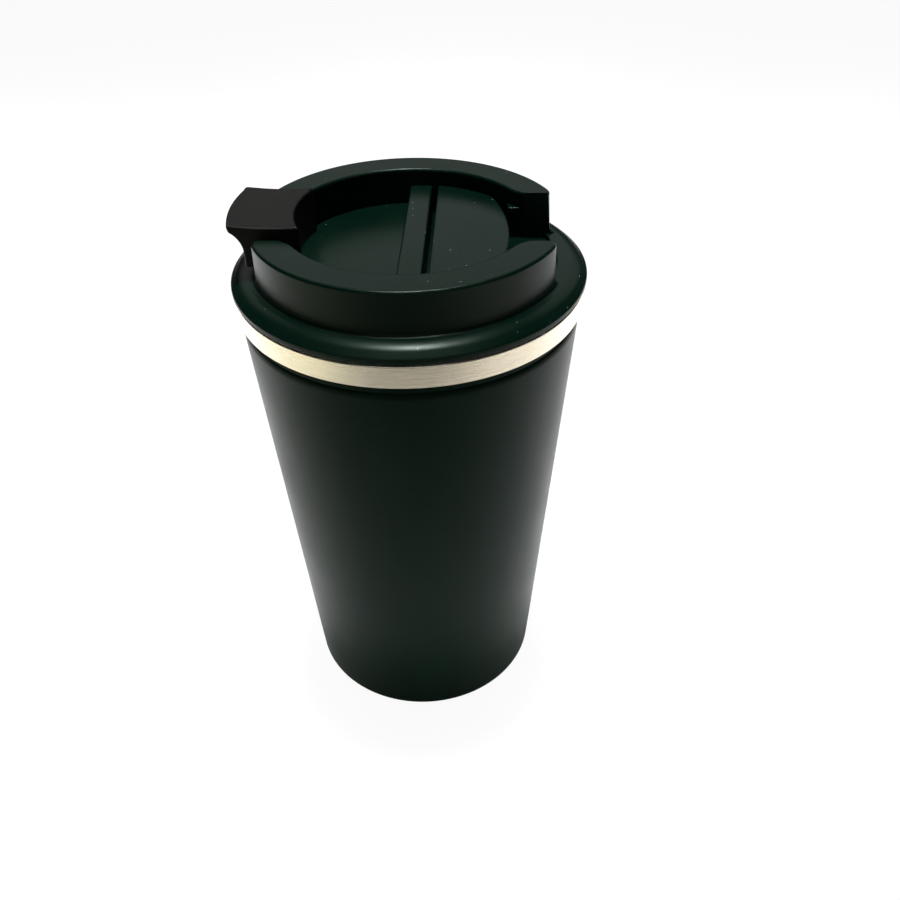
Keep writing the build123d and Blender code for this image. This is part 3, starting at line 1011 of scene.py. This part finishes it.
for vertex in tab.data.vertices:
    if vertex.co.z > (tab_top - lip_depth) * mm and reach(vertex.co) > (tab_inside + 0.3) * mm:
        from_side = tab_half - abs(vertex.co.y) / mm
        bead = 0.22 if 0.5 < from_side < 1.2 else 0.12 if from_side <= 0.5 else 0
        vertex.co.z = min(vertex.co.z + bead * mm, tab_high.z)
bpy.ops.object.mode_set(mode="EDIT")
pick("EDGE", lambda a, b: near(abs(a.y), tab_half * mm) and near(abs(b.y), tab_half * mm))
bpy.ops.mesh.bevel(offset=side_rounding * mm, segments=5, affect="EDGES", clamp_overlap=True)
bpy.ops.object.mode_set(mode="OBJECT")
pocket_gap = 0.05
pocket_top = ledge_top + pocket_gap
pocket_outside = leg_radius - tab_skin
pocket_inside = tab_inside + tab_skin
pocket = draw_outline(
    "tab_pocket",
    [
        (-pocket_outside, tab_foot - 1),
        (-pocket_outside, pocket_top),
        (-pocket_inside, pocket_top),
        (-pocket_inside, tab_foot - 1),
    ],
)
curve_across(pocket, even_steps(core_half + pocket_gap))
bpy.ops.object.mode_set(mode="OBJECT")
combine(tab, pocket, "DIFFERENCE")
smooth(tab, 50)
settle(tab, tab_rubber, "flap", "tab_rubber", "thumb_tab")

# Studio: a pale floor that the camera sees as white paper, soft boxes behind, above and in front,
# low panels that light the paper round the mug, and a camera above the mug.

paper_glow = 1.04
glow_share = 0.9
room_light = 0.015
panel_height = 0.125
deselect()
bpy.ops.mesh.primitive_plane_add(size=6)
floor = bpy.context.active_object
floor.name = "floor"
paper, tree, surface = shader("floor_paper", Specular_IOR_Level=0.0, Roughness=0.9)
surface.inputs["Base Color"].default_value = (0.8, 0.8, 0.8, 1)
glow = tree.nodes.new("ShaderNodeEmission")
glow.inputs["Strength"].default_value = paper_glow
seen = tree.nodes.new("ShaderNodeLightPath")
both = tree.nodes.new("ShaderNodeMixShader")
share = math_node(tree, "MULTIPLY", seen.outputs["Is Camera Ray"], glow_share)
tree.links.new(share, both.inputs["Fac"])
tree.links.new(surface.outputs[0], both.inputs[1])
tree.links.new(glow.outputs[0], both.inputs[2])
tree.links.new(both.outputs[0], tree.nodes["Material Output"].inputs["Surface"])
dress(floor, paper)

world = bpy.data.worlds.new("studio")
bpy.context.scene.world = world
world.use_nodes = True
sky = world.node_tree
air = sky.nodes["Background"]
seen = sky.nodes.new("ShaderNodeLightPath")
air.inputs["Color"].default_value = (1, 1, 1, 1)
brightness = spread(sky, seen.outputs["Is Camera Ray"], 0, 1, room_light, 1.0)
sky.links.new(brightness, air.inputs["Strength"])


def soft_box(name, place, target, size, power, colour=(1, 1, 1), beam=180):
    """A rectangular soft light at a place, aimed at a target, with a grid that narrows its beam."""
    lamp = bpy.data.lights.new(name, "AREA")
    lamp.shape = "RECTANGLE"
    lamp.size, lamp.size_y = size
    lamp.energy = power
    lamp.color = colour
    lamp.spread = math.radians(beam)
    holder = bpy.data.objects.new(name, lamp)
    bpy.context.scene.collection.objects.link(holder)
    holder.location = place
    holder.rotation_euler = (Vector(target) - Vector(place)).to_track_quat("-Z", "Y").to_euler()
    holder.visible_camera = False


middle = (0, 0, 0.1)
soft_box("back_box", (0.0, 1.1, 0.95), middle, (2.2, 1.0), 3.8)
soft_box("top_box", (0.0, 0.06, 1.25), middle, (0.25, 0.13), 0.23, beam=16)
soft_box("front_box", (0.0, -1.05, 0.75), middle, (1.2, 0.3), 1.2)
for name, x, y, size, power, colour in (
    ("left_panel", -0.32, 0.24, (0.42, 0.5), 1.5, (1, 1, 1)),
    ("right_panel", 0.32, 0.24, (0.42, 0.5), 1.45, (1, 1, 1)),
    ("back_panel", 0.0, 0.38, (0.2, 0.5), 0.7, (1, 1, 1)),
    ("left_front_panel", -0.40, -0.25, (0.35, 0.35), 0.8, (1.0, 0.96, 0.70)),
    ("right_front_panel", 0.40, -0.25, (0.35, 0.35), 0.75, (1.0, 0.92, 0.84)),
    ("front_panel", 0.0, -0.75, (1.4, 0.5), 1.4, (1.0, 0.94, 0.82)),
):
    soft_box(name, (x, y, panel_height), (x, y + 0.01 * mm, 0), size, power, colour)

camera = bpy.data.objects.new("camera", bpy.data.cameras.new("camera"))
bpy.context.scene.collection.objects.link(camera)
camera.data.lens = 38.1
camera.data.sensor_width = 36.0
camera.location = (0.01927, -0.22027, 0.24580)
aim = Vector((0.0094, 0.00075, 0.0744))
camera.rotation_euler = (aim - camera.location).to_track_quat("-Z", "Y").to_euler()
tilt = math.radians(-1.11)
camera.rotation_euler.rotate_axis("Z", tilt)
bpy.context.scene.camera = camera
bpy.context.scene.view_settings.view_transform = "Standard"
